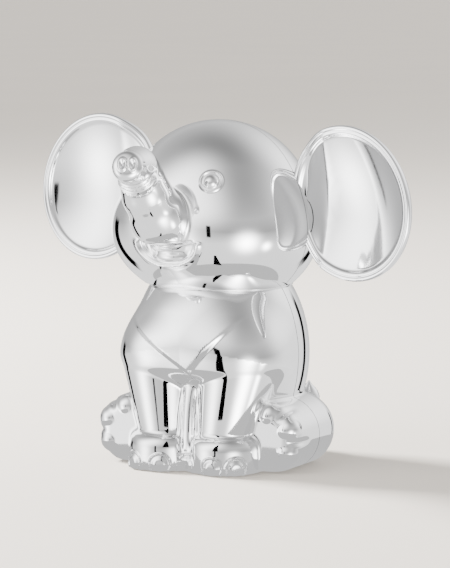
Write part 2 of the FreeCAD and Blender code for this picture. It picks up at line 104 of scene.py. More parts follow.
# centre line points with their radii
TRUNK = [
    ((0, -27.0, 82.7), 10.4),
    ((0, -37.0, 89.7), 9.6),
    ((0, -44.0, 98.0), 8.2),
    ((0.2, -47.6, 104.2), 7.1),
    ((1.2, -51.5, 108.0), 6.4),
    ((4.1, -60.2, 108.5), 5.5),
]
TAIL = [
    ((0, 31.5, 21.0), 1.9),
    ((7.0, 32.0, 16.0), 1.8),
    ((15.5, 29.0, 14.5), 2.0),
    ((22.0, 24.5, 17.0), 3.1),
    ((25.0, 21.4, 21.6), 3.7),
    ((25.6, 20.4, 27.0), 0.5),
]

# a leg's two ends, then the radii there
FRONT_LEG = ((11.2, -21.0, 12.2), (15.0, -16.0, 39.2), 9.8, 15.0)
HIND_LEG = ((26.8, -22.0, 11.8), (26.8, 7.0, 12.0), 12.5, 13.2)

PAW = (11.6, -21.0, 4.7)
PAW_RADIUS = 13.5
PAW_TOP = 13.0

# the way the trunk's flat end faces, its distance from the tip's middle, and half the nostrils' spacing
SNOUT_OUT = (0.506, -0.796, 0.331)
SNOUT_FLAT = 3.5
NOSTRIL_APART = 1.75

# the mouth's middle and half size, across and up, and the bib's point with the slopes of its two edges
MOUTH_MIDDLE = (0.8, 80.6)
MOUTH_HALF = (11.0, 7.0)
BIB_POINT = (2.4, 35.6)
BIB_SLOPES = (0.68, 1.1)

# degrees round each paw from straight ahead, and round each hind sole from straight out
FRONT_NAILS = {1: (41.0, 3.0, -50.0), -1: (33.0, -16.0, -62.0)}
NAIL_HEIGHT = 2.6
NAIL_HALF = 4.0
HIND_TOES = (84.0, 26.0, -30.0)
HIND_GROOVES = (55.0, -2.0)
TOE_RADIUS = 4.5
TOE_PLACE = (8.4, 4.0)


# Signed distances ---------------------------------------------------------------------------------


def row(values):
    return np.array(values, float)


def ellipsoid(points, form):
    centre, radii = row(form[0]), row(form[1])
    near = (points - centre) / radii
    reach = np.sqrt((near**2).sum(-1))
    slope = np.sqrt(((near / radii) ** 2).sum(-1)) + 1e-9
    return reach * (reach - 1) / slope


def ball(points, centre, radius):
    return np.sqrt(((points - row(centre)) ** 2).sum(-1)) - radius


def tapered(points, start, end, start_radius, end_radius):
    start, end = row(start), row(end)
    along = end - start
    share = np.clip((points - start) @ along / (along @ along), 0, 1)
    off = points - start - share[:, None] * along
    return np.sqrt((off**2).sum(-1)) - (start_radius + (end_radius - start_radius) * share)


def melt(a, b, soft):
    """Joins two forms with a fillet."""
    near = np.maximum(soft - np.abs(a - b), 0) / soft
    return np.minimum(a, b) - near * near * soft / 4


def carve(a, b, soft):
    """Keeps what lies in both forms, with a rounded edge."""
    return -melt(-a, -b, soft)


def chain(points, stations, soft):
    distance = None
    for (start, start_radius), (end, end_radius) in zip(stations, stations[1:]):
        piece = tapered(points, start, end, start_radius, end_radius)
        distance = piece if distance is None else melt(distance, piece, soft)
    return distance


def folded(points):
    """The points with the right half laid over the left."""
    return np.column_stack([np.abs(points[:, 0]), points[:, 1], points[:, 2]])


def ridge(offset, width):
    return np.exp(-((offset / width) ** 2))


def rise(share):
    share = np.clip(share, 0, 1)
    return share * share * (3 - 2 * share)


def slope_of(form, points, step=0.02):
    """The form's outward direction at each point."""
    parts = []
    for axis in np.eye(3):
        parts.append(form(points + axis * step) - form(points - axis * step))
    slope = np.column_stack(parts)
    return slope / (np.linalg.norm(slope, axis=1, keepdims=True) + 1e-12)


def settle(form, points, turns=4):
    """Moves points along the form's slope until they lie on its surface."""
    for _ in range(turns):
        points = points - np.clip(form(points), -1, 1)[:, None] * slope_of(form, points)
    return points


# Head ---------------------------------------------------------------------------------------------


def head_shell(points):
    """Skull, jaw and cheeks."""
    sides = folded(points)
    distance = melt(ellipsoid(points, SKULL), ellipsoid(points, JAW), 8)
    return melt(distance, ellipsoid(sides, CHEEK), 8)


def mouth_shape(points):
    """Distance from the half-moon of the mouth, seen from the front."""
    across = points[:, 0] - MOUTH_MIDDLE[0]
    up = points[:, 2] - MOUTH_MIDDLE[1]
    arc = (np.sqrt((across / MOUTH_HALF[0]) ** 2 + (up / MOUTH_HALF[1]) ** 2) - 1) * 7.6
    return carve(arc, up + 0.2 - 0.012 * across**2, 1.0)


def head_plain(points):
    """The head with its trunk, lip and open mouth."""
    shell = head_shell(points)
    trunk = chain(points, TRUNK, 3)
    lip = ellipsoid(points, LOWER_LIP)
    flat = (points - row(TRUNK[-1][0])) @ row(SNOUT_OUT) - SNOUT_FLAT
    trunk = np.where(points[:, 1] < -50, carve(trunk, flat, 2.0), trunk)
    distance = melt(melt(shell, lip, 3.0), trunk, 1.6)
    mouth = mouth_shape(points)
    front = points[:, 1] + 24
    hollow = carve(carve(mouth, -(np.minimum(distance, shell) + 2.0), 1.6), front, 1.0)
    distance = carve(distance, -hollow, 0.9)
    return melt(distance, ellipsoid(points, TONGUE), 0.8)


def snout_frame():
    """The trunk's tip: its middle, the way it faces, and the directions across and up its flat end."""
    out = row(SNOUT_OUT) / np.linalg.norm(SNOUT_OUT)
    side = np.cross(out, (0, 0, 1.0))
    side /= np.linalg.norm(side)
    return row(TRUNK[-1][0]), out, side, np.cross(side, out)


def trunk_details(points):
    """Nostril rings on the flat end, and the folds under the crook."""
    tip, out, side, up = snout_frame()
    height = np.zeros(len(points))
    near = np.sqrt(((points - tip) ** 2).sum(-1)) < 14
    local = points[near]
    facing = rise(((local - tip) @ out - 1.0) / 2.0)
    found = np.zeros(len(local))
    for sign in (-1, 1):
        off = local - tip - side * NOSTRIL_APART * sign
        reach = np.sqrt((off @ side / 1.3) ** 2 + (off @ up / 1.95) ** 2)
        found += 0.5 * ridge((reach - 1) * 1.5, 0.4) * facing
        found -= 0.6 * (1 - rise(reach / 0.75)) * facing
    axis = row((0.22, -0.86, 0.46))
    along = (local - row((1.8, -53.6, 105.0))) @ axis
    under = rise(((local - tip) @ row((0.1, -0.35, -0.93)) - 0.5) / 4.0)
    for step in (-2.9, -1.0, 0.9):
        found += 0.8 * ridge(along - step, 0.6) * under
    height[near] = found
    return height


def head_fine(points):
    """The head with its eyes, lips, nostrils and folds."""
    sides = folded(points)
    distance = head_plain(points) - 0.5 * ridge(ball(sides, EYE, 3.8), 0.45)
    distance = melt(distance, ball(sides, EYE - EYE_OUT * 1.2, 3.0), 0.4)
    edge = mouth_shape(points)
    front = rise((-points[:, 1] - 24) / 3)
    below = rise((82.0 - points[:, 2]) / 2.0)
    distance = distance - 1.0 * ridge(edge - 1.4, 0.8) * front * below
    return distance - trunk_details(points)


EYE = settle(head_shell, row([(15.0, -27.2, 102.0)]))[0]
EYE_OUT = slope_of(head_shell, EYE[None])[0]


# Body ---------------------------------------------------------------------------------------------


def body_shell(points):
    """Torso, chest and rump, drawn in below the chest where the front legs stand."""
    distance = melt(ellipsoid(points, TORSO), ellipsoid(points, CHEST), 5)
    distance = melt(distance, ellipsoid(points, RUMP), 6)
    drawn_in = 5.6 * rise((-points[:, 1] - 14) / 9) * rise((37 - points[:, 2]) / 9)
    return distance + drawn_in


def legs(points):
    sides = folded(points)
    start, end, low, high = FRONT_LEG
    front = tapered(sides, start, end, low, high)
    wide = np.hypot(sides[:, 0] - PAW[0], sides[:, 1] - PAW[1]) - PAW_RADIUS + 0.05 * points[:, 2]
    return melt(front, carve(wide, points[:, 2] - PAW_TOP, 5.0), 1.0)


def hind_leg(points, soft):
    """A hind leg lying along the floor, cut flat at its sole."""
    start, end, low, high = HIND_LEG
    return carve(tapered(folded(points), start, end, low, high), start[1] - points[:, 1], soft)


def toe_places(reach, back):
    """Places round a left hind sole, by distance from its middle and back from its face."""
    places = []
    for turn in HIND_TOES:
        angle = math.radians(turn)
        places.append(row(HIND_LEG[0]) + row((math.cos(angle) * reach, back, math.sin(angle) * reach)))
    return places


def hind_legs(points):
    """The hind legs with their toes and the grooves that run back between them."""
    off = folded(points) - row(HIND_LEG[0])
    turned = np.degrees(np.arctan2(off[:, 2], off[:, 0]))
    grooves = sum(ridge(turned - turn, 6) for turn in HIND_GROOVES)
    outer = rise(np.hypot(off[:, 0], off[:, 2]) / 4 - 1.9)
    leg = hind_leg(points, 6.0) + 0.75 * grooves * outer * rise((-9 - points[:, 1]) / 8)
    for place in toe_places(*TOE_PLACE):
        leg = melt(leg, ball(folded(points), place, TOE_RADIUS), 0.35)
    return leg


def body_plain(points):
    """The body with its legs and tail, flat on the floor."""
    soft = 1.5 + 6.5 * rise((points[:, 2] - 27) / 14)
    distance = melt(body_shell(points), legs(points), soft)
    distance = melt(distance, ellipsoid(points, WEB), 1.0)
    distance = melt(distance, hind_legs(points), 1.4)
    distance = melt(distance, chain(points, TAIL, 1.5), 0.8)
    return carve(distance, -points[:, 2], 1.6)


def bib_shape(points):
    """Distance from the pointed bib of the chest, seen from the front."""
    across = points[:, 0] - BIB_POINT[0]
    over = points[:, 2] - BIB_POINT[1]
    right, left = BIB_SLOPES
    distance = (-across * right - over) / math.hypot(right, 1)
    return np.maximum(distance, (across * left - over) / math.hypot(left, 1))


def nail(points, centre, out):
    """A toenail's height: a low dome inside a raised line."""
    off = points - centre
    forward = off @ out
    reach = np.sqrt(np.maximum((off**2).sum(-1) - forward**2, 0)) / NAIL_HALF
    line = 0.5 * ridge((reach - 0.96) * NAIL_HALF, 0.34)
    dome = 0.75 * rise((0.88 - reach) / 0.5)
    return (line + dome) * (np.abs(forward) < 4)


def nails(points):
    height = np.zeros(len(points))
    for centre, out in NAILS:
        near = ((points - centre) ** 2).sum(-1) < 60
        height[near] = np.maximum(height[near], nail(points[near], centre, out))
    return height


def find_nails():
    """Where the front toenails stand: their centres on the paws, and the ways they face."""
    places = []
    for side, turns in FRONT_NAILS.items():
        for turn in turns:
            angle = math.radians(turn)
            away = row((math.sin(angle) * side, -math.cos(angle), 0))
            start = row((PAW[0] * side, PAW[1], NAIL_HEIGHT)) + away * PAW_RADIUS
            places.append((settle(legs, start[None])[0], away))
    return places


def body_fine(points):
    """The body with its bib, the folds between the front legs, and toenails."""
    distance = body_plain(points)
    front = rise((-points[:, 1] - 20) / 4)
    bib = bib_shape(points)
    proud = rise(0.5 - bib / 2.2) * rise((56 - points[:, 2]) / 14)
    distance = distance - 1.4 * proud * front
    between = front * rise((points[:, 2] - 5) / 6) * rise((30 - points[:, 2]) / 5)
    edges = ridge(points[:, 0] - 2.7, 0.8) + ridge(points[:, 0] + 1.9, 0.8)
    distance = distance + 0.7 * edges * between
    return carve(distance - nails(points), -points[:, 2], 0.8)


NAILS = find_nails()


# Meshes -------------------------------------------------------------------------------------------


def net(form, low, high, pitch):
    """A closed net of quads over a form's surface."""
    axes = [np.arange(a, b + pitch, pitch) for a, b in zip(low, high)]
    across, along, up = axes
    values = np.empty([len(axis) for axis in axes], np.float32)
    flat = np.stack(np.meshgrid(along, up, indexing="ij"), -1).reshape(-1, 2)
    for i, x in enumerate(across):
        points = np.column_stack([np.full(len(flat), x), flat])
        values[i] = form(points).reshape(len(along), len(up))
    inside = values < 0
    count = np.zeros([n - 1 for n in inside.shape], np.int8)
    for corner in np.ndindex(2, 2, 2):
        part = tuple(slice(c, n - 1 + c) for c, n in zip(corner, inside.shape))
        count += inside[part]
    cells = (count > 0) & (count < 8)
    number = np.full(cells.shape, -1)
    number[cells] = np.arange(cells.sum())
    places = np.argwhere(cells)
    points = row(low) + (places + 0.5) * pitch
    quads = []
    for axis in range(3):
        before = np.take(inside, range(inside.shape[axis] - 1), axis)
        after = np.take(inside, range(1, inside.shape[axis]), axis)
        edges = np.argwhere(before != after)
        first, second = [k for k in range(3) if k != axis]
        if axis == 1:
            first, second = second, first
        corners = []
        for one, two in ((-1, -1), (0, -1), (0, 0), (-1, 0)):
            cell = edges.copy()
            cell[:, first] += one
            cell[:, second] += two
            corners.append(number[tuple(cell.T)])
        quad = np.column_stack(corners)
        flip = ~before[tuple(edges.T)]
        quad[flip] = quad[flip][:, ::-1]
        quads.append(quad)
    return points, np.vstack(quads)


def even_out(form, points, quads, turns):
    """Spreads a net's points evenly over the form."""
    start = quads.ravel()
    end = np.roll(quads, -1, axis=1).ravel()
    many = np.bincount(start, minlength=len(points)) + np.bincount(end, minlength=len(points))
    for _ in range(turns):
        total = np.zeros_like(points)
        for axis in range(3):
            total[:, axis] = np.bincount(start, points[end, axis], len(points))
            total[:, axis] += np.bincount(end, points[start, axis], len(points))
        points = settle(form, points * 0.5 + total / many[:, None] * 0.5, 1)
    return points


def plain_mesh(name, points, faces):
    mesh = bpy.data.meshes.new(name)
    faces = faces.tolist() if isinstance(faces, np.ndarray) else faces
    mesh.from_pydata(row(points).tolist(), [], faces)
    mesh.update()
    return mesh


def refine(mesh, form, spots):
    """Divides the faces round each spot, then lays the new points on the form."""
    build = bmesh.new()
    build.from_mesh(mesh)
    for centre, reach, times in spots:
        for _ in range(times):
            centre = Vector(centre)
            edges = [
                edge
                for edge in build.edges
                if (edge.verts[0].co - centre).length < reach and (edge.verts[1].co - centre).length < reach
            ]
            bmesh.ops.subdivide_edges(build, edges=edges, cuts=1, use_grid_fill=True)
    build.to_mesh(mesh)
    build.free()
    points = read_points(mesh)
    points = settle(form, points, 5)
    mesh.vertices.foreach_set("co", points.ravel())
    mesh.update()
    return mesh


def read_points(mesh):
    points = np.empty(len(mesh.vertices) * 3)
    mesh.vertices.foreach_get("co", points)
    return points.reshape(-1, 3)


def skin(name, form, low, high, pitch, spots=(), fine=None):
    """A closed mesh of a form, in millimetres, finer round the spots."""
    points, quads = net(form, low, high, pitch)
    fine = fine or form
    points = settle(form, points, 4)
    points = even_out(form, points, quads, 4)
    points = settle(fine, points, 4)
    mesh = plain_mesh(name, points, quads)
    return refine(mesh, fine, spots) if spots else mesh


def cutter_box(low, high):
    build = bmesh.new()
    bmesh.ops.create_cube(build, size=1)
    middle = (row(low) + row(high)) / 2
    size = row(high) - row(low)
    build.transform(Matrix.Translation(middle.tolist()) @ Matrix.Diagonal((*size.tolist(), 1)))
    return finish_cutter(build)


def cutter_disc(centre, radius, low, high):
    build = bmesh.new()
    bmesh.ops.create_cone(
        build, cap_ends=True, segments=192, radius1=radius, radius2=radius, depth=high - low
    )
    build.transform(Matrix.Translation((centre[0], centre[1], (low + high) / 2)))
    return finish_cutter(build)


def finish_cutter(build):
    mesh = bpy.data.meshes.new("cutter")
    build.to_mesh(mesh)
    build.free()
    return mesh


def worked(mesh, steps):
    """The mesh after cutting with, or keeping, each solid in turn."""
    whole = bpy.data.objects.new("worked", mesh)
    bpy.context.scene.collection.objects.link(whole)
    tools = []
    for action, solid in steps:
        tool = bpy.data.objects.new("tool", solid)
        bpy.context.scene.collection.objects.link(tool)
        tools.append(tool)
        change = whole.modifiers.new(action, "BOOLEAN")
        change.operation = action
        change.solver = "MANIFOLD"
        change.object = tool
    bpy.context.view_layer.update()
    graph = bpy.context.evaluated_depsgraph_get()
    result = bpy.data.meshes.new_from_object(whole.evaluated_get(graph))
    for item in [whole] + tools:
        bpy.data.objects.remove(item)
    if not result.polygons:
        raise RuntimeError("cutting left nothing")
    return result


def corner_normals(mesh, form):
    """Smooth directions on the form's own surface and flat ones on the cut faces."""
    points = read_points(mesh)
    outward = slope_of(form, points)
    on_form = np.abs(form(points)) < 0.03
    corners = np.empty(len(mesh.loops), int)
    mesh.loops.foreach_get("vertex_index", corners)
    flat = np.empty(len(mesh.polygons) * 3)
    mesh.polygons.foreach_get("normal", flat)
    sizes = np.empty(len(mesh.polygons), int)
    mesh.polygons.foreach_get("loop_total", sizes)
    flat = np.repeat(flat.reshape(-1, 3), sizes, axis=0)
    smooth = on_form[corners] & ((outward[corners] * flat).sum(-1) > 0.3)
    return np.where(smooth[:, None], outward[corners], flat)


def place(name, mesh, form, turn, body, slot, replaced, material):
    """Makes a piece of a mesh in millimetres: turned, moved to the neck's axis, and tied to its body."""
    normals = corner_normals(mesh, form)
    turned = np.array(Matrix.Rotation(turn, 3, "Z"))
    points = read_points(mesh) @ turned.T + row((NECK_AXIS.x, NECK_AXIS.y, 0))
    mesh.vertices.foreach_set("co", (points * MM).ravel())
    mesh.update()
    mesh.polygons.foreach_set("use_smooth", np.ones(len(mesh.polygons), bool))
    mesh.normals_split_custom_set((normals @ turned.T).tolist())
    return add_piece(name, mesh, body, replaced, material)


def add_piece(name, mesh, body, replaced, material):
    mesh.name = name
    mesh.materials.clear()
    mesh.materials.append(material)
    piece = bpy.data.objects.new(name, mesh)
    bpy.context.scene.collection.objects.link(piece)
    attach(piece, body)
    if replaced:
        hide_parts(*replaced)
    return piece


def finish_turned(mesh, turn, sharpest):
    """Turns a mesh in millimetres, moves it to the neck's axis, and keeps its sharper edges crisp."""
    move = Matrix.Translation((NECK_AXIS.x, NECK_AXIS.y, 0)) @ Matrix.Rotation(turn, 4, "Z")
    mesh.transform(Matrix.Diagonal((MM, MM, MM, 1)) @ move)
    mesh.shade_smooth()
    mesh.set_sharp_from_angle(angle=math.radians(sharpest))


def turned_mesh(name, outline, steps=256):
    """A ring turned about the neck's axis from a closed outline of radius and height."""
    points = []
    for i in range(steps):
        angle = 2 * math.pi * i / steps
        points += [(r * math.cos(angle), r * math.sin(angle), z) for r, z in outline]
    count = len(outline)
    faces = []
    for i in range(steps):
        for k in range(count):
            a, b = i * count + k, i * count + (k + 1) % count
            c, d = (i + 1) % steps * count + (k + 1) % count, (i + 1) % steps * count + k
            faces.append((a, d, c, b))
    return plain_mesh(name, row(points), faces)


# Shader maths -------------------------------------------------------------------------------------


class Value:
    """A node's output that adds Math nodes as it is used in arithmetic."""

    def __init__(self, tree, socket):
        self.tree = tree
        self.socket = socket

    def maths(self, operation, *inputs):
        return self.tree.node("ShaderNodeMath", {"operation": operation}, inputs)

    def __add__(self, other):
        return self.maths("ADD", self, other)

    __radd__ = __add__

    def __sub__(self, other):
        return self.maths("SUBTRACT", self, other)

    def __rsub__(self, other):
        return self.maths("SUBTRACT", other, self)

    def __mul__(self, other):
        return self.maths("MULTIPLY", self, other)

    __rmul__ = __mul__


class Tree:
    """A material's or the world's nodes."""

    def __init__(self, owner):
        owner.use_nodes = True
        self.nodes = owner.node_tree.nodes
        self.links = owner.node_tree.links
        self.nodes.clear()

    def node(self, kind, settings=None, inputs=(), output=0):
        """Adds any node: its settings first, then the values or links of its sockets."""
        made = self.nodes.new(kind)
        for key, value in (settings or {}).items():
            if key == "stops":
                self.set_stops(made.color_ramp, value)
            else:
                setattr(made, key, value)
        pairs = inputs.items() if isinstance(inputs, dict) else enumerate(inputs)
        for key, value in pairs:
            if isinstance(value, Value):
                self.links.new(value.socket, made.inputs[key])
            else:
                made.inputs[key].default_value = value
        if not made.outputs:
            return made
        return Value(self, made.outputs[output])

    @staticmethod
    def set_stops(ramp, stops):
        while len(ramp.elements) < len(stops):
            ramp.elements.new(0.5)
        for element, (position, colour) in zip(ramp.elements, stops):
            element.position = position
            element.color = (*colour, 1)

    def mix(self, share, first, second):
        """A colour between two colours."""
        inputs = {"Factor": share, 6: first, 7: second}
        return self.node("ShaderNodeMix", {"data_type": "RGBA"}, inputs, output=2)

    def noise(self, scale, detail=2.0, rough=0.5):
        where = self.node("ShaderNodeTexCoord", output="Object")
        inputs = {"Vector": where, "Scale": scale, "Detail": detail, "Roughness": rough}
        return self.node("ShaderNodeTexNoise", {}, inputs)


def solid_colour(colour):
    return (colour[0], colour[1], colour[2], 1)


def principled(name, **inputs):
    """A material of one Principled shader. A function among its inputs is called with the tree."""
    material = bpy.data.materials.new(name)
    tree = Tree(material)
    values = {key.replace("_", " "): value for key, value in inputs.items() if not callable(value)}
    for key, make in inputs.items():
        if callable(make):
            values[key.replace("_", " ")] = make(tree)
    shader = tree.node("ShaderNodeBsdfPrincipled", {}, values)
    tree.node("ShaderNodeOutputMaterial", {}, {"Surface": shader})
    return material


def silver(name, colour, rough, ripple):
    """Polished silver plate: a clear mirror with faint clouding and the slightest casting ripple."""

    def tint(tree):
        cloud = tree.noise(38.0, 4.0)
        return tree.mix(cloud * 0.5, solid_colour(colour), solid_colour([c * 0.93 for c in colour]))

    def gloss(tree):
        haze = tree.noise(60.0, 5.0, 0.6)
        fine = tree.noise(420.0, 2.0)
        return rough + haze * (rough * 0.6) + fine * (rough * 0.3)

    def relief(tree):
        wave = tree.noise(45.0, 1.0)
        return tree.node("ShaderNodeBump", {}, {"Strength": ripple, "Distance": 0.0004, "Height": wave})

    return principled(name, Base_Color=tint, Metallic=1.0, Roughness=gloss, Normal=relief)


def brushed(name, colour, stretch):
    """Plain sheet metal with fine brushing along one direction."""

    def grain(tree):
        where = tree.node("ShaderNodeTexCoord", output="Object")
        spread = tree.node("ShaderNodeMapping", {}, {"Vector": where, "Scale": stretch})
        return tree.node("ShaderNodeTexNoise", {}, {"Vector": spread, "Scale": 900.0, "Detail": 3.0})

    def tint(tree):
        return tree.mix(grain(tree), solid_colour(colour), solid_colour([c * 0.8 for c in colour]))

    def gloss(tree):
        return 0.26 + grain(tree) * 0.2

    def relief(tree):
        lines = grain(tree)
        return tree.node("ShaderNodeBump", {}, {"Strength": 0.3, "Distance": 0.0001, "Height": lines})

    return principled(name, Base_Color=tint, Metallic=1.0, Roughness=gloss, Normal=relief)


def felt(name, colour):
    """Pressed felt: short crossed fibres with paler flecks."""

    def tint(tree):
        flecks = tree.noise(2600.0, 3.0, 0.7)
        dark, light = ([c * share for c in colour] for share in (0.6, 1.9))
        return tree.mix(flecks, solid_colour(dark), solid_colour(light))

    def relief(tree):
        fibres = tree.noise(1800.0, 6.0, 0.75)
        return tree.node("ShaderNodeBump", {}, {"Strength": 0.9, "Distance": 0.0003, "Height": fibres})

    return principled(name, Base_Color=tint, Roughness=0.95, Normal=relief)


def soft_plastic(name, colour):
    """Matt moulded plastic with a fine spark-eroded texture."""

    def tint(tree):
        cloud = tree.noise(120.0, 3.0)
        return tree.mix(cloud, solid_colour(colour), solid_colour([c * 1.35 for c in colour]))

    def gloss(tree):
        return 0.42 + tree.noise(700.0, 2.0) * 0.16

    def relief(tree):
        grain = tree.noise(3000.0, 2.0)
        return tree.node("ShaderNodeBump", {}, {"Strength": 0.25, "Distance": 0.0001, "Height": grain})

    return principled(name, Base_Color=tint, Roughness=gloss, Normal=relief)


# Settings -----------------------------------------------------------------------------------------


class MoneyBoxShape(PropertyGroup):
    head_turn: FloatProperty(
        name="Head turn",
        description="How far the head is turned about the neck",
        default=math.radians(-10),
        subtype="ANGLE",
    )
    wall: FloatProperty(
        name="Wall", description="Thickness of the castings", default=0.0022, unit="LENGTH"
    )
    seam_gap: FloatProperty(
        name="Seam gap", description="Open line between two castings", default=0.0003, unit="LENGTH"
    )
    pitch: FloatProperty(
        name="Mesh pitch", description="Size of a face on the castings", default=0.00062, unit="LENGTH"
    )
    ear_dish: FloatProperty(
        name="Ear dish", description="Depth of the ears' hollow", default=0.0056, unit="LENGTH"
    )
    slot_length: FloatProperty(
        name="Slot length", description="Length of the coin slot", default=0.036, unit="LENGTH"
    )
    slot_width: FloatProperty(
        name="Slot width", description="Width of the coin slot", default=0.0036, unit="LENGTH"
    )


class MoneyBoxFinish(PropertyGroup):
    silver: FloatVectorProperty(
        name="Silver", description="Colour of the plating", default=(0.93, 0.93, 0.935), subtype="COLOR"
    )
    polish: FloatProperty(
        name="Polish", description="Roughness of the plating", default=0.035, min=0, max=1
    )
    steel: FloatVectorProperty(
        name="Steel", description="Colour of the base plate", default=(0.55, 0.55, 0.56), subtype="COLOR"
    )
    felt: FloatVectorProperty(
        name="Felt", description="Colour of the base felt", default=(0.02, 0.02, 0.023), subtype="COLOR"
    )
    plastic: FloatVectorProperty(
        name="Stopper", description="Colour of the stopper", default=(0.03, 0.03, 0.033), subtype="COLOR"
    )


class MoneyBoxStage(PropertyGroup):
    floor: FloatVectorProperty(
        name="Floor", description="Colour of the floor", default=(0.88, 0.80, 0.70), subtype="COLOR"
    )
    azimuth: FloatProperty(
        name="Camera azimuth", description="Camera angle", default=math.radians(25), subtype="ANGLE"
    )
    elevation: FloatProperty(
        name="Camera elevation", description="Camera height", default=math.radians(6.2), subtype="ANGLE"
    )
    key: FloatProperty(name="Key light", description="Power of the key light", default=75.0, unit="POWER")


def shape():
    return bpy.context.scene.money_box_shape


def finish():
    return bpy.context.scene.money_box_finish


def mm(length):
    return length / MM


# Pieces -------------------------------------------------------------------------------------------

FAR = 200.0


def head_cuts():
    """The head's hollow and the bore up into it."""
    wall = mm(shape().wall)
    floor = HEAD_LOW + COLLAR
    inside = skin(
        "head_inside",
        lambda p: carve(head_shell(p) + wall, floor - p[:, 2], 0.5),
        (-38, -36, 62),
        (38, 38, 124),
        1.6,
    )
    neck = cutter_disc((0, 0), NECK_BORE, HEAD_LOW - 8, floor + 2)
    return inside, neck


class MONEYBOX_OT_head(Operator):
    """Builds the head's front and rear castings"""

    bl_idname = "moneybox.head"
    bl_label = "Head castings"

    def execute(self, context):
        spots = [(EYE, 5.5, 2), (EYE * row((-1, 1, 1)), 5.5, 2)]
        spots += [(row(TRUNK[-1][0]), 9.5, 1), ((2.5, -55, 104), 7.5, 1), ((0.8, -31, 77), 14.0, 1)]
        tip, out, side, up = snout_frame()
        spots.append((tip + out * SNOUT_FLAT, 4.6, 1))
        pitch = mm(shape().pitch)
        outside = skin("head", head_plain, (-40, -70, 55), (40, 38, 126), pitch, spots, head_fine)
        inside, neck = head_cuts()
        gap = mm(shape().seam_gap) / 2
        metal = silver("silver_plate", finish().silver, finish().polish, 0.12)
        for name, low, high in (
            ("head_front", -FAR, HEAD_SEAM - gap),
            ("head_rear", HEAD_SEAM + gap, FAR),
        ):
            keep = cutter_box((-FAR, low, HEAD_LOW), (FAR, high, FAR))
            steps = [("INTERSECT", keep), ("DIFFERENCE", inside), ("DIFFERENCE", neck)]
            mesh = worked(outside, steps)
            turn = shape().head_turn
            place(name, mesh, head_fine, turn, "bank", "silver_plate", [name + "_shell"], metal)
        return {"FINISHED"}


# the left ear's middle, how much higher the right one stands, and an ear's half width and height
EAR_MIDDLE = (54.4, -1.0, 95.3)
EAR_SKEW = 0.7
EAR_RADII = (24.4, 27.5)
EAR_LEAN = math.radians(26.6)
EAR_SHEET = 1.15
EAR_STEPS = 224


def ear_section():
    """Samples of the ear's section, as pairs of inset from the edge and offset to the front."""
    inner = [(d, EAR_SHEET) for d in (22, 18.5, 15, 12, 9.5, 7.5, 6, 5, 4.2, 3.7)]
    lip = [(3.35, 1.2), (3.1, 1.38), (2.9, 1.62), (2.65, 1.82), (2.35, 1.92), (2.05, 1.9)]
    groove = [(1.8, 1.78), (1.62, 1.58), (1.45, 1.5), (1.28, 1.56), (1.1, 1.66)]
    roll = [(0.85, 1.66), (0.55, 1.52), (0.28, 1.24), (0.08, 0.8), (0.0, 0.3)]
    back = [(0.0, -0.4), (0.1, -0.9), (0.35, -1.4), (0.75, -1.75), (1.25, -1.9), (1.8, -1.88)]
    back += [(2.3, -1.7), (2.7, -1.4), (3.1, -1.24), (3.6, -1.16)]
    back += [(d, -EAR_SHEET) for d in (4.4, 5.6, 7.2, 9.5, 12.5, 16, 19.5, 22)]
    return inner + lip + groove + roll + back


def ear_mesh(side, head_solid):
    """A dished oval with a rolled rim, cut where it meets the head."""
    dish = mm(shape().ear_dish)
    section = ear_section()
    points = []
    for i in range(EAR_STEPS):
        angle = 2 * math.pi * i / EAR_STEPS
        for inset, offset in section:
            points.append(ear_point(angle, inset, offset, dish))
    front = len(points)
    points.append(ear_point(0, EAR_RADII[0], EAR_SHEET, dish))
    points.append(ear_point(0, EAR_RADII[0], -EAR_SHEET, dish))
    count = len(section)
    faces = []
    for i in range(EAR_STEPS):
        here, there = i * count, (i + 1) % EAR_STEPS * count
        faces.append((front, there, here))
        faces.append((front + 1, here + count - 1, there + count - 1))
        for k in range(count - 1):
            faces.append((here + k, there + k, there + k + 1, here + k + 1))
    points = row(points)
    points[:, 0] += EAR_MIDDLE[0]
    points[:, 2] += EAR_MIDDLE[2] - EAR_SKEW * side
    near_head = rise((45.0 - points[:, 0]) / 11.0)
    points[:, 1] += EAR_MIDDLE[1] + near_head * 3.2
    if side < 0:
        points[:, 0] *= -1
        faces = [face[::-1] for face in faces]
    mesh = plain_mesh("ear", points, faces)
    mesh.shade_smooth()
    return worked(mesh, [("DIFFERENCE", head_solid)])


def ear_point(angle, inset, offset, dish):
    """One point of the left ear, from its middle."""
    wide = (EAR_RADII[0] - inset) * math.cos(angle)
    high = (EAR_RADII[1] - inset * EAR_RADII[1] / EAR_RADII[0]) * math.sin(angle)
    share = min(1.0, math.hypot(wide / EAR_RADII[0], high / EAR_RADII[1]))
    depth = dish * (1 - share * share) - offset
    lean = (math.cos(EAR_LEAN), math.sin(EAR_LEAN))
    return (wide * lean[0] - high * lean[1], depth, wide * lean[1] + high * lean[0])


class MONEYBOX_OT_ears(Operator):
    """Builds the two dished ears"""

    bl_idname = "moneybox.ears"
    bl_label = "Ears"

    def execute(self, context):
        metal = silver("silver_plate_ears", finish().silver, finish().polish * 1.2, 0.1)
        head_solid = skin("head_cut", lambda p: head_shell(p) + 0.35, (-39, -36, 52), (39, 38, 126), 1.1)
        for word, side in (("left", 1), ("right", -1)):
            mesh = ear_mesh(side, head_solid)
            finish_turned(mesh, shape().head_turn, 48)
            add_piece(word + "_ear_leaf", mesh, "bank", [word + "_ear"], metal)
        return {"FINISHED"}


RING_INSIDE = 20.6
RING_OUTSIDE = 22.3
BEAD_PROUD = 0.3


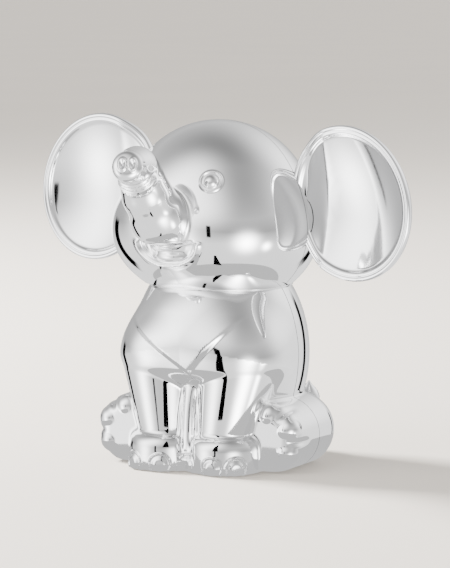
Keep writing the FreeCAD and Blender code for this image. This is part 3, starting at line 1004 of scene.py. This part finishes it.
class MONEYBOX_OT_neck(Operator):
    """Builds the neck ring with its bright rounded bead"""

    bl_idname = "moneybox.neck"
    bl_label = "Neck ring"

    def execute(self, context):
        low, high = NECK_LOW.z / MM, NECK_HIGH.z / MM
        outer = (NECK_HIGH.x - NECK_LOW.x) / 2 / MM + BEAD_PROUD
        radius = (HEAD_LOW - BODY_TOP) / 2
        middle = (HEAD_LOW + BODY_TOP) / 2
        bead = []
        for i in range(13):
            angle = math.radians(-90 + 15 * i)
            bead.append((outer - radius + radius * math.cos(angle), middle + radius * math.sin(angle)))
        below = [(RING_INSIDE, low), (RING_OUTSIDE, low), (RING_OUTSIDE, BODY_TOP)]
        above = [(RING_OUTSIDE, HEAD_LOW), (RING_OUTSIDE, high), (RING_INSIDE, high)]
        mesh = turned_mesh("neck_bead", below + bead + above)
        finish_turned(mesh, 0.0, 40)
        metal = silver("neck_plate", [c * 1.03 for c in finish().silver], finish().polish, 0.05)
        add_piece("neck_bead", mesh, "bank", ["neck_ring"], metal)
        return {"FINISHED"}


def body_cuts():
    """The body's hollow, the bore up to the head, the plate's recess, the stopper's way and the slot."""
    wall = mm(shape().wall)
    floor = PLATE_TOP + LEDGE
    ceiling = BODY_TOP - COLLAR

    def hollow(points):
        start, end, low, high = FRONT_LEG
        distance = melt(body_shell(points), tapered(folded(points), start, end, low, high), 1)
        distance = melt(distance, hind_leg(points, 1), 1) + wall
        return carve(carve(distance, floor - points[:, 2], 0.5), points[:, 2] - ceiling, 0.5)

    half = (mm(shape().slot_length) / 2, mm(shape().slot_width) / 2)
    return (
        skin("body_inside", hollow, (-44, -40, 2), (44, 40, 60), 1.6),
        cutter_disc((0, 0), NECK_BORE, ceiling - 2, BODY_TOP + 5),
        cutter_disc((0, PLATE_Y), PLATE_RADIUS + PLATE_EASE, -5, PLATE_TOP),
        cutter_disc((0, PLATE_Y), STOPPER_WAY, -5, floor + 2),
        cutter_box((-half[0], 16, SLOT_HEIGHT - half[1]), (half[0], 60, SLOT_HEIGHT + half[1])),
    )


class MONEYBOX_OT_body(Operator):
    """Builds the body's front and rear castings"""

    bl_idname = "moneybox.body"
    bl_label = "Body castings"

    def execute(self, context):
        spots = [(centre, 5.6, 1) for centre, out in NAILS]
        for toe in toe_places(10.0, 2.0):
            spots += [(toe * row((side, 1, 1)), 5.0, 1) for side in (1, -1)]
        for x in (-13, -8, -3, 2.4, 8, 13):
            spots.append(((x, -30, BIB_POINT[1] + 0.9 + abs(x - BIB_POINT[0]) * 0.85), 4.5, 1))
        pitch = mm(shape().pitch)
        outside = skin("body", body_plain, (-44, -40, -2), (44, 40, 82), pitch, spots, body_fine)
        cuts = body_cuts()
        gap = mm(shape().seam_gap) / 2
        metal = silver("silver_plate_body", finish().silver, finish().polish, 0.12)
        for name, low, high in (
            ("body_front", -FAR, BODY_SEAM - gap),
            ("body_rear", BODY_SEAM + gap, FAR),
        ):
            keep = cutter_box((-FAR, low, -FAR), (FAR, high, BODY_TOP))
            mesh = worked(outside, [("INTERSECT", keep)] + [("DIFFERENCE", tool) for tool in cuts])
            place(name, mesh, body_fine, 0.0, "bank", "silver_plate", [name + "_shell"], metal)
        return {"FINISHED"}


class MONEYBOX_OT_base(Operator):
    """Gives the base plate, screws, felt and stopper their finishes"""

    bl_idname = "moneybox.base"
    bl_label = "Base and stopper"

    def execute(self, context):
        choices = {
            "base_plate": brushed("base_steel", finish().steel, (1.0, 0.03, 1.0)),
            "base_screws": brushed("screw_steel", [c * 0.9 for c in finish().steel], (1.0, 1.0, 0.2)),
            "base_felt": felt("base_felt", finish().felt),
            "coin_stopper": soft_plastic("stopper_plastic", finish().plastic),
        }
        for node, material in choices.items():
            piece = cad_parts[node]
            if not piece.material_slots:
                raise RuntimeError("%s has no material slot" % node)
            for holder in piece.material_slots:
                holder.material = material
        return {"FINISHED"}


# Stage --------------------------------------------------------------------------------------------


def toward(turn, tilt):
    """A direction, by degrees to the right of the camera's own side and above the horizon."""
    turn, tilt = math.radians(turn), math.radians(tilt)
    return (math.sin(turn) * math.cos(tilt), -math.cos(turn) * math.cos(tilt), math.sin(tilt))


def along(where, direction):
    """How far the looked-at direction goes along another."""
    x, y, z = where
    return x * direction[0] + y * direction[1] + z * direction[2]


def eased(tree, value, low, high):
    inputs = {"Value": value, "From Min": low, "From Max": high}
    return tree.node("ShaderNodeMapRange", {"interpolation_type": "SMOOTHSTEP"}, inputs)


def board(tree, where, turn, width, low, high, soft):
    """One inside an upright board with soft edges, and zero outside."""
    ahead = along(where, toward(turn, 0))
    across = along(where, toward(turn + 90, 0))
    aside = across.maths("ABSOLUTE", across)
    tilt = where[2]
    inside = eased(tree, aside - ahead * width, soft, 0.0 - soft)
    inside = inside * eased(tree, tilt, low - soft * 2, low + soft * 2)
    inside = inside * eased(tree, tilt, high + soft * 2, high - soft * 2)
    return inside * eased(tree, ahead, 0.0, 0.1)


# degrees right and up, how tight, and strength
GLOWS = [
    (24, -18, 26, 7.0),
    (60, -24, 160, 6.0),
    (-48, 40, 9, 1.6),
    (-74, 12, 12, 2.2),
    (-68, -16, 30, 2.5),
    (125, 25, 6, 1.2),
]
# degrees right, half width, lowest and highest rise, and softness of the edge
BOARDS = [
    (-134, 0.13, -0.6, 0.05, 0.02),
    (-33, 0.05, -0.14, 0.2, 0.014),
    (140, 0.08, -0.45, 0.2, 0.03),
]
# grey levels from straight down to straight up
HEIGHT_STOPS = [
    (0.0, (1.0, 1.0, 1.0)),
    (0.33, (1.0, 1.0, 1.0)),
    (0.45, (0.62, 0.62, 0.62)),
    (0.53, (0.36, 0.36, 0.36)),
    (0.72, (0.5, 0.5, 0.5)),
    (0.88, (0.34, 0.34, 0.34)),
    (1.0, (0.18, 0.18, 0.18)),
]


def world_light():
    """A pale studio with soft glows and a few narrow dark boards, seen in the polish."""
    world = bpy.data.worlds.new("studio")
    bpy.context.scene.world = world
    tree = Tree(world)
    generated = tree.node("ShaderNodeTexCoord", output="Generated")
    camera_turn = bpy.context.scene.money_box_stage.azimuth
    spin = {"Vector": generated, "Rotation": (0, 0, -camera_turn)}
    turned = tree.node("ShaderNodeMapping", {"vector_type": "POINT"}, spin)
    apart = tree.node("ShaderNodeSeparateXYZ", {}, [turned])
    where = [Value(tree, output) for output in apart.socket.node.outputs]
    level = tree.node("ShaderNodeValToRGB", {"stops": HEIGHT_STOPS}, [where[2] * 0.5 + 0.5])
    light = Value(tree, level.socket)
    for turn, tilt, tight, strength in GLOWS:
        near = along(where, toward(turn, tilt))
        light = light + near.maths("POWER", near.maths("MAXIMUM", near, 0.0), tight) * strength
    for turn, width, low, high, soft in BOARDS:
        light = light * (1 - board(tree, where, turn, width, low, high, soft))
    shine = tree.node("ShaderNodeBackground", {}, {"Color": light, "Strength": 1.6})
    tree.node("ShaderNodeOutputWorld", {}, {"Surface": shine})


def add_light(name, place, aim, power, size):
    """A square soft light that isn't itself seen in the polish."""
    data = bpy.data.lights.new(name, "AREA")
    data.size = size
    data.energy = power
    lamp = bpy.data.objects.new(name, data)
    lamp.location = place
    lamp.rotation_euler = (Vector(aim) - Vector(place)).to_track_quat("-Z", "Y").to_euler()
    lamp.visible_glossy = False
    bpy.context.scene.collection.objects.link(lamp)


# the key light's place and size, in metres
KEY_PLACE = (-1.03, 0.07, 0.75)
KEY_SIZE = 0.3

# the tone of a glowing disc seen only in the polish, a painted reflection in place of the floor near the
# feet, and its reach in metres
PAINTED_FLOOR_REFLECTION_TONE = 0.78
PAINTED_FLOOR_REFLECTION_REACH = 0.076

# the black flag's distance from the neck's axis, and its ends across and up, in metres
FLAG_AWAY = 0.062
FLAG_LOW = (-0.027, -0.012)
FLAG_HIGH = (-0.018, -0.015)
FLAG_TOP = 0.050
FLAG_FOOT = 0.012


def plain_material(name, colour):
    """An even tone that glows, seen the same from everywhere; the painted floor reflection under the paws
    uses it.
    """
    material = bpy.data.materials.new(name)
    tree = Tree(material)
    shine = tree.node("ShaderNodeEmission", {}, {"Color": solid_colour(colour), "Strength": 1.0})
    tree.node("ShaderNodeOutputMaterial", {}, {"Surface": shine})
    return material


def floor_material(colour):
    """A plain pale matt surface with the faintest patches."""

    def tint(tree):
        patch = tree.noise(3.0, 2.0)
        return tree.mix(patch, solid_colour(colour), solid_colour([c * 1.06 for c in colour]))

    def gloss(tree):
        return 0.55 + tree.noise(25.0, 3.0) * 0.1

    return principled("floor", Base_Color=tint, Roughness=gloss)


# the camera's lens and the height it looks at, in millimetres, and its distance and shift, in metres
LENS = 177.4648
AIM_HEIGHT = 64.2
CAMERA_AWAY = 1.0
CAMERA_SHIFT = (0.001464, -0.000953)


class MONEYBOX_OT_stage(Operator):
    """Sets the floor, the soft lights and the camera"""

    bl_idname = "moneybox.stage"
    bl_label = "Stage"

    def execute(self, context):
        stage = context.scene.money_box_stage
        floor = self.add_disc("floor", 60.0, -0.0001, floor_material(stage.floor))
        floor.visible_glossy = False
        # a glowing disc under the paws, seen only in the polish: a painted reflection of the floor near the
        # feet
        painted_floor_reflection = self.add_disc("painted_floor_reflection", PAINTED_FLOOR_REFLECTION_REACH, -0.0002, plain_material("painted_floor_reflection", (PAINTED_FLOOR_REFLECTION_TONE,) * 3))
        painted_floor_reflection.location.x, painted_floor_reflection.location.y = NECK_AXIS.x * MM, NECK_AXIS.y * MM
        self.only_reflected(painted_floor_reflection)
        self.add_flag(stage)
        world_light()
        middle = (CAD_BOX[0] + CAD_BOX[1]) / 2
        add_light("key", KEY_PLACE, middle, stage.key, KEY_SIZE)
        self.add_camera(context, stage)
        return {"FINISHED"}

    @staticmethod
    def add_disc(name, radius, height, material):
        build = bmesh.new()
        bmesh.ops.create_circle(build, cap_ends=True, segments=128, radius=radius)
        mesh = finish_cutter(build)
        mesh.name = name
        mesh.materials.append(material)
        disc = bpy.data.objects.new(name, mesh)
        disc.location.z = height
        bpy.context.scene.collection.objects.link(disc)
        return disc

    @staticmethod
    def only_reflected(thing):
        thing.visible_camera = False
        thing.visible_diffuse = False
        thing.visible_shadow = False

    def add_flag(self, stage):
        """A small black flag in front of the paws, seen only as dark shapes in the polish."""
        turn = stage.azimuth
        back = Vector((math.sin(turn), -math.cos(turn), 0))
        right = Vector((math.cos(turn), math.sin(turn), 0))
        middle = Vector((NECK_AXIS.x, NECK_AXIS.y, 0)) * MM + back * FLAG_AWAY
        ends = [(across, FLAG_FOOT) for across in FLAG_LOW]
        ends += [(across, FLAG_TOP) for across in FLAG_HIGH[::-1]]
        corners = [tuple(middle + right * across + Vector((0, 0, up))) for across, up in ends]
        mesh = plain_mesh("flag", corners, [(0, 1, 2, 3)])
        mesh.materials.append(plain_material("flag", (0.0, 0.0, 0.0)))
        flag = bpy.data.objects.new("flag", mesh)
        bpy.context.scene.collection.objects.link(flag)
        self.only_reflected(flag)

    @staticmethod
    def add_camera(context, stage):
        turn, tilt = stage.azimuth, stage.elevation
        back = Vector((math.sin(turn) * math.cos(tilt), -math.cos(turn) * math.cos(tilt), math.sin(tilt)))
        right = Vector((math.cos(turn), math.sin(turn), 0))
        up = back.cross(right)
        aim = Vector((NECK_AXIS.x, NECK_AXIS.y, AIM_HEIGHT)) * MM
        data = bpy.data.cameras.new("camera")
        data.sensor_width = 36
        data.lens = LENS
        data.clip_start, data.clip_end = 0.05, 200
        camera = bpy.data.objects.new("camera", data)
        camera.location = aim + back * CAMERA_AWAY + right * CAMERA_SHIFT[0] + up * CAMERA_SHIFT[1]
        camera.rotation_euler = (-back).to_track_quat("-Z", "Y").to_euler()
        context.scene.collection.objects.link(camera)
        context.scene.camera = camera


class MONEYBOX_PT_panel(Panel):
    """Lists the money box's pieces and settings"""

    bl_label = "Money Box"
    bl_idname = "MONEYBOX_PT_panel"
    bl_space_type = "VIEW_3D"
    bl_region_type = "UI"
    bl_category = "Money Box"

    def draw(self, context):
        scene = context.scene
        for group in (scene.money_box_shape, scene.money_box_finish, scene.money_box_stage):
            box = self.layout.box()
            for name in group.__annotations__:
                box.prop(group, name)
        for operator in OPERATORS:
            self.layout.operator(operator.bl_idname)


GROUPS = {
    "money_box_shape": MoneyBoxShape,
    "money_box_finish": MoneyBoxFinish,
    "money_box_stage": MoneyBoxStage,
}
OPERATORS = (
    MONEYBOX_OT_head,
    MONEYBOX_OT_ears,
    MONEYBOX_OT_neck,
    MONEYBOX_OT_body,
    MONEYBOX_OT_base,
    MONEYBOX_OT_stage,
)


def register():
    for kind in (*GROUPS.values(), *OPERATORS, MONEYBOX_PT_panel):
        bpy.utils.register_class(kind)
    for name, kind in GROUPS.items():
        setattr(bpy.types.Scene, name, PointerProperty(type=kind))


def unregister():
    for name in GROUPS:
        delattr(bpy.types.Scene, name)
    for kind in reversed((*GROUPS.values(), *OPERATORS, MONEYBOX_PT_panel)):
        bpy.utils.unregister_class(kind)


def main():
    register()
    bpy.ops.moneybox.head()
    bpy.ops.moneybox.ears()
    bpy.ops.moneybox.neck()
    bpy.ops.moneybox.body()
    bpy.ops.moneybox.base()
    bpy.ops.moneybox.stage()


if __name__ == "__main__":
    main()
